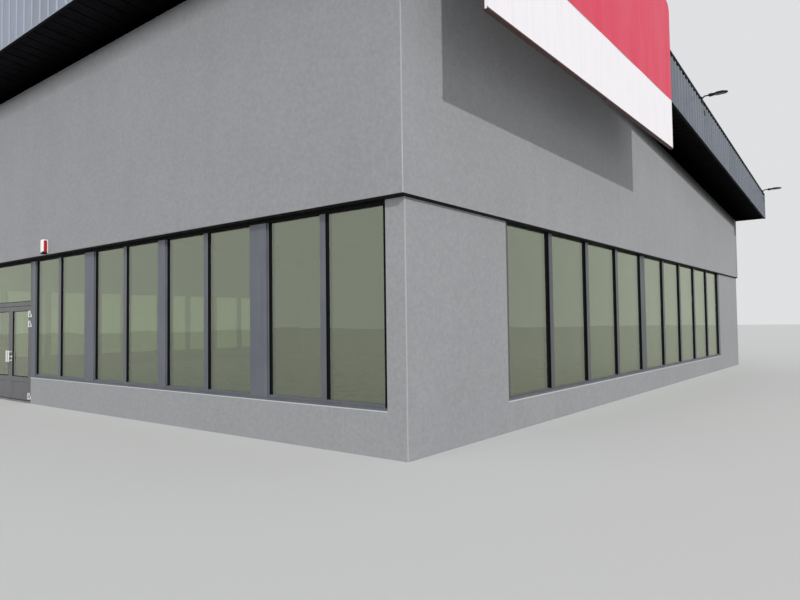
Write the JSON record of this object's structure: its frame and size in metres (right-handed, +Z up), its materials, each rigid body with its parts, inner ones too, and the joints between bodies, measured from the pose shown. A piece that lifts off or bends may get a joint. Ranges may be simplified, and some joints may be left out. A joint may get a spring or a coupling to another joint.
{
  "type": "supermarket building",
  "caption": "Hollow supermarket hall with a glazed ground storey, a closed upper storey, a sloping roof with a deep canopy, a double entrance door and a tall blank sign.",
  "frame": {"origin": "ground level, at the middle of the plan", "axes": "+Z up, +Y from the entrance front to the back, +X to the right of someone who faces the entrance"},
  "size_m": [25.94, 20.89, 8.1891],
  "materials": {
    "concrete_floor": "trowelled concrete",
    "lower_render": "fine grained grey render",
    "upper_render": "fine grained grey render",
    "pilaster_metal": "anthracite satin coating",
    "frame_metal": "anthracite satin coating",
    "window_glass": "reflective tinted insulating glass",
    "door_glass": "clear insulating glass",
    "hinge_metal": "white coated hinges",
    "pull_metal": "brushed bar",
    "soffit_sheet": "dark ribbed sheet",
    "fascia_sheet": "blue grey ribbed sheet",
    "roof_sheet": "grey profiled sheet",
    "sign_face": "white stripe below a pinkish red field",
    "sign_steel": "dark red brown coating",
    "siren_white": "matt white housing",
    "siren_red": "red lens",
    "lamp_metal": "near black coating"
  },
  "bodies": {
    "building": {"floor_slab": "concrete_floor", "front_wall_right": "lower_render", "front_wall_left": "lower_render", "side_wall_right": "lower_render", "side_wall_left": "lower_render", "back_wall": "lower_render", "front_upper_wall": "upper_render", "side_upper_wall_right": "upper_render", "side_upper_wall_left": "upper_render", "back_upper_wall": "upper_render", "pilasters_right": "pilaster_metal", "pilasters_left": "pilaster_metal", "front_frames_right": "frame_metal", "front_frames_left": "frame_metal", "front_glass_right": "window_glass", "front_glass_left": "window_glass", "side_frame_right": "frame_metal", "side_frame_left": "frame_metal", "side_glass_right": "window_glass", "side_glass_left": "window_glass", "entrance_frame": "frame_metal", "transom_glass": "window_glass", "threshold": "concrete_floor", "door_hinges": "hinge_metal", "front_soffit": "soffit_sheet", "side_soffit_right": "soffit_sheet", "side_soffit_left": "soffit_sheet", "front_fascia": "fascia_sheet", "back_fascia": "fascia_sheet", "side_fascia_right": "fascia_sheet", "side_fascia_left": "fascia_sheet", "roof_deck": "roof_sheet", "sign_board": "sign_face", "sign_frame": "sign_steel", "alarm_siren": "siren_white", "siren_lens": "siren_red", "floodlights": "lamp_metal"},
    "door_right": {"door_leaf_right": "frame_metal", "door_glass_right": "door_glass", "door_pull_right": "pull_metal"},
    "door_left": {"door_leaf_left": "frame_metal", "door_glass_left": "door_glass", "door_pull_left": "pull_metal"}
  },
  "joints": [
    {"name": "door_right_hinge", "type": "hinge", "parent": "building", "child": "door_right", "pos_m": [1.062, -9.78, 0], "axis": [0, 0, 1], "range_deg": [0, 90]},
    {"name": "door_left_hinge", "type": "hinge", "parent": "building", "child": "door_left", "pos_m": [-1.062, -9.78, 0], "axis": [0, 0, -1], "range_deg": [0, 90]}
  ]
}
